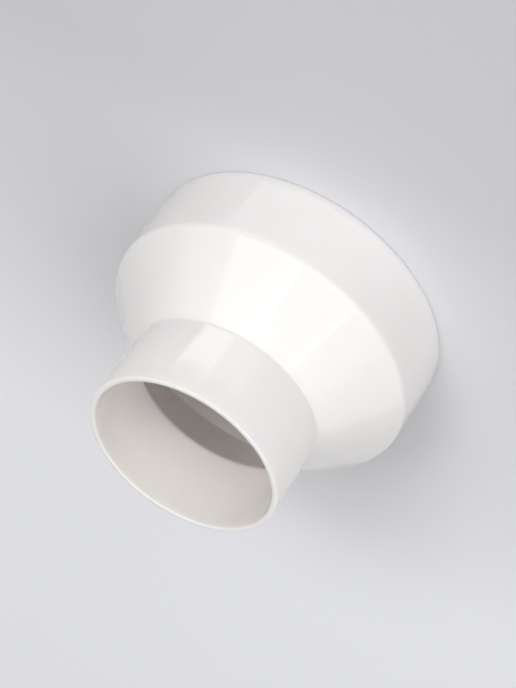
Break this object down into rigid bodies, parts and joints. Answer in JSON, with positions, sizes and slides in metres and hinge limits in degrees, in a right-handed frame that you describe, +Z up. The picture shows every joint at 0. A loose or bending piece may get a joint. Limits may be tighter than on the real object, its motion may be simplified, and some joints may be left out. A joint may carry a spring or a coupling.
{
  "type": "vent pipe adapter",
  "caption": "One-piece moulded plastic adapter that steps a round vent duct down from a wide collar, through a cone, to a narrower coaxial spigot.",
  "frame": {"origin": "middle of the collar's mouth, on the plane that the adapter stands on", "axes": "+Z up the common axis, from the wide collar to the narrow spigot; X and Y are any pair across it, as the part is round"},
  "size_m": [0.16, 0.16, 0.115],
  "materials": {
    "moulded_plastic": "glossy warm white injection moulding, with a faint surface waviness and light handling marks"
  },
  "bodies": {
    "root": {"adapter_body": "moulded_plastic"}
  },
  "joints": []
}
